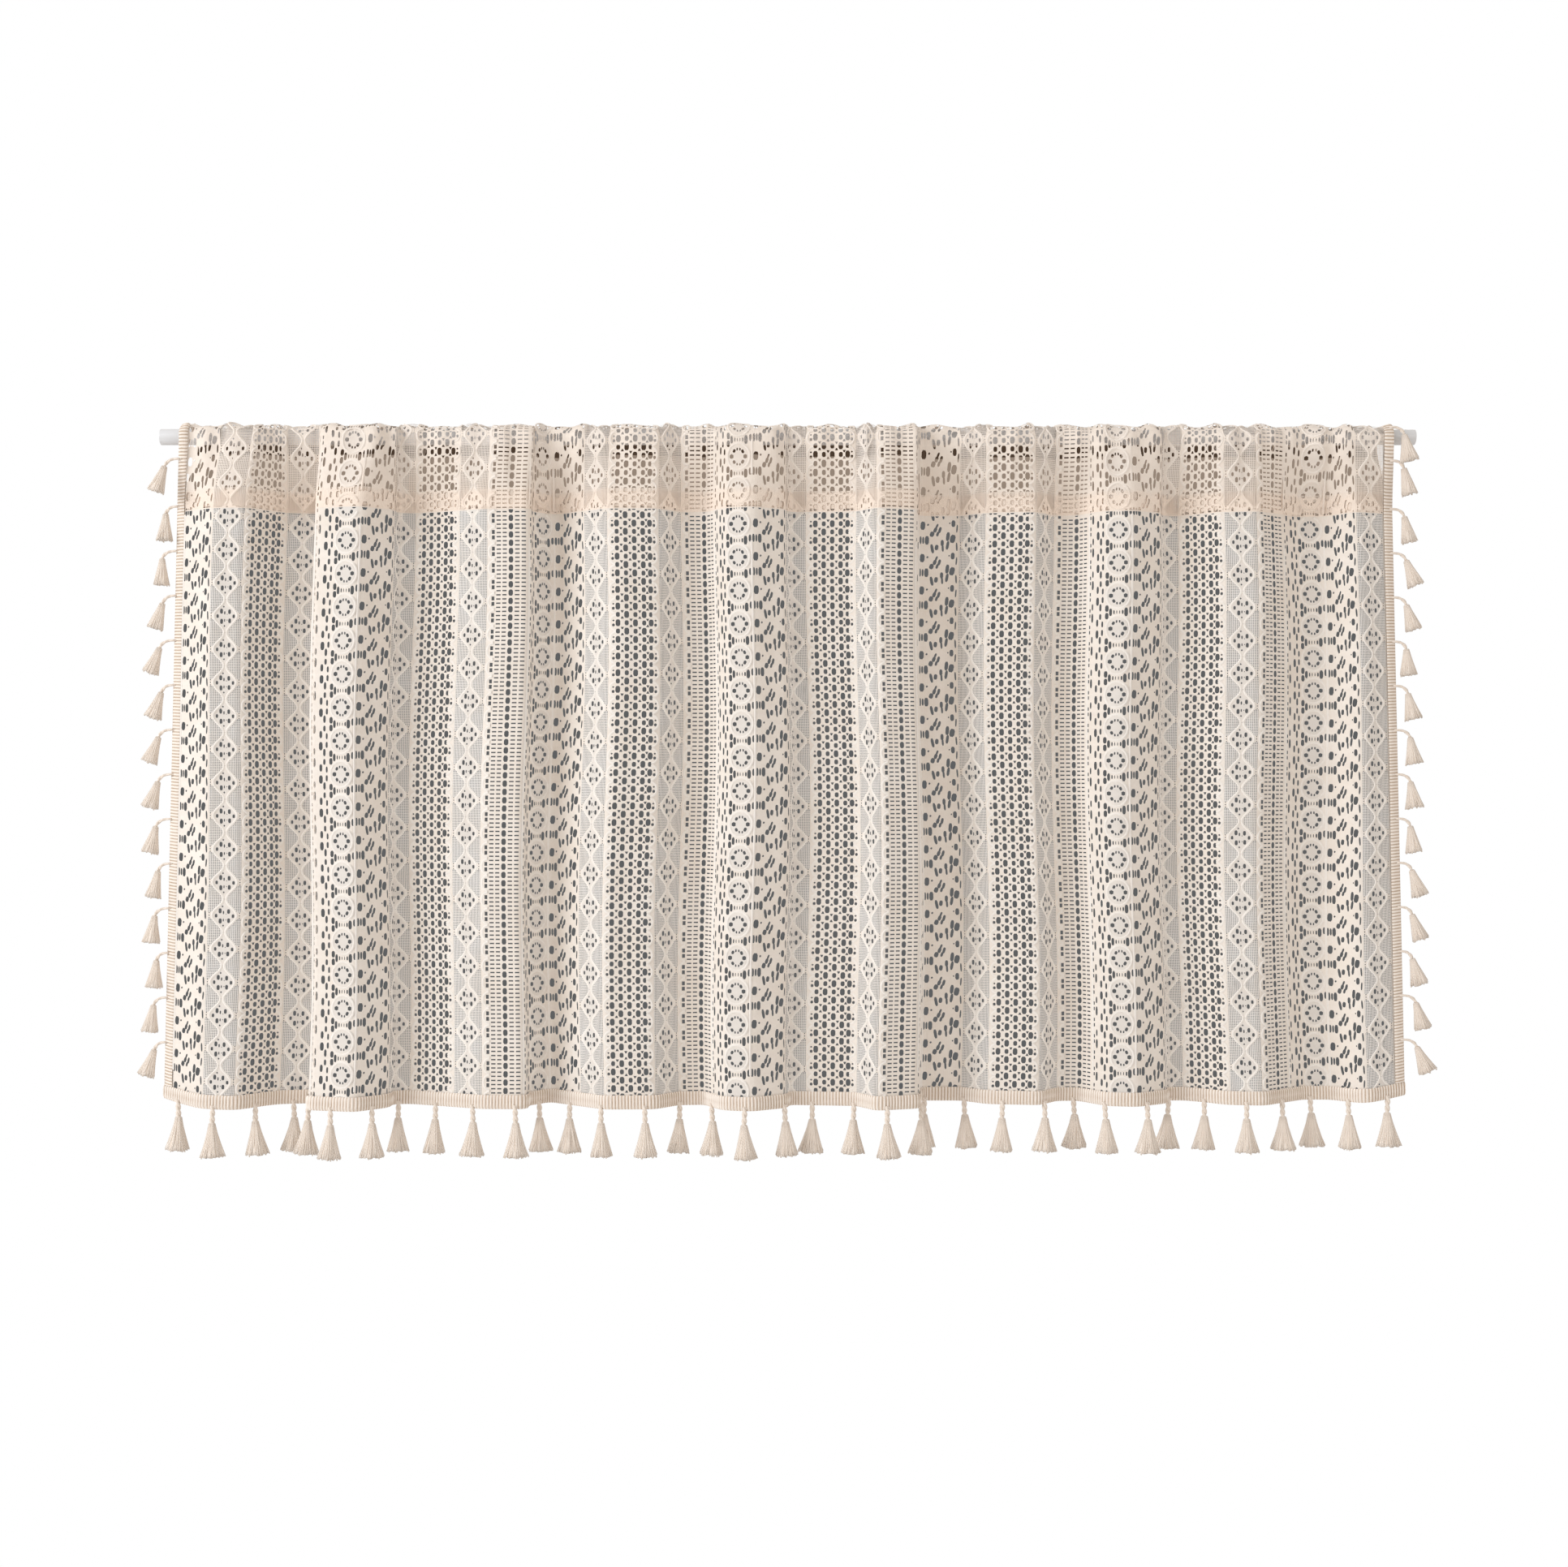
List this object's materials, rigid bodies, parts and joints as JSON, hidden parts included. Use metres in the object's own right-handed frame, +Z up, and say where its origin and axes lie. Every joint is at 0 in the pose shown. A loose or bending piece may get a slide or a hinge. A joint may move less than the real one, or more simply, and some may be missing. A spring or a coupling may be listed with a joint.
{
  "type": "cafe curtain on a rod",
  "caption": "Short cream lace cafe curtain gathered in uneven folds on a plain white rod, with braid and tassel fringe along both sides and the hem.",
  "frame": {"origin": "middle of the rod's axis, halfway between its two ends", "axes": "+X along the rod to the viewer's right, +Z up, the front of the curtain faces -Y"},
  "size_m": [1.0605, 0.0769, 0.5991],
  "materials": {
    "lace": "matte knitted cotton lace with open holes",
    "trim": "woven braid with cut yarn tassels",
    "rod": "smooth satin white"
  },
  "bodies": {
    "root": {"rod": "rod", "lace_cloth": "lace", "hem_fringe": "trim", "left_fringe": "trim", "right_fringe": "trim"}
  },
  "joints": []
}
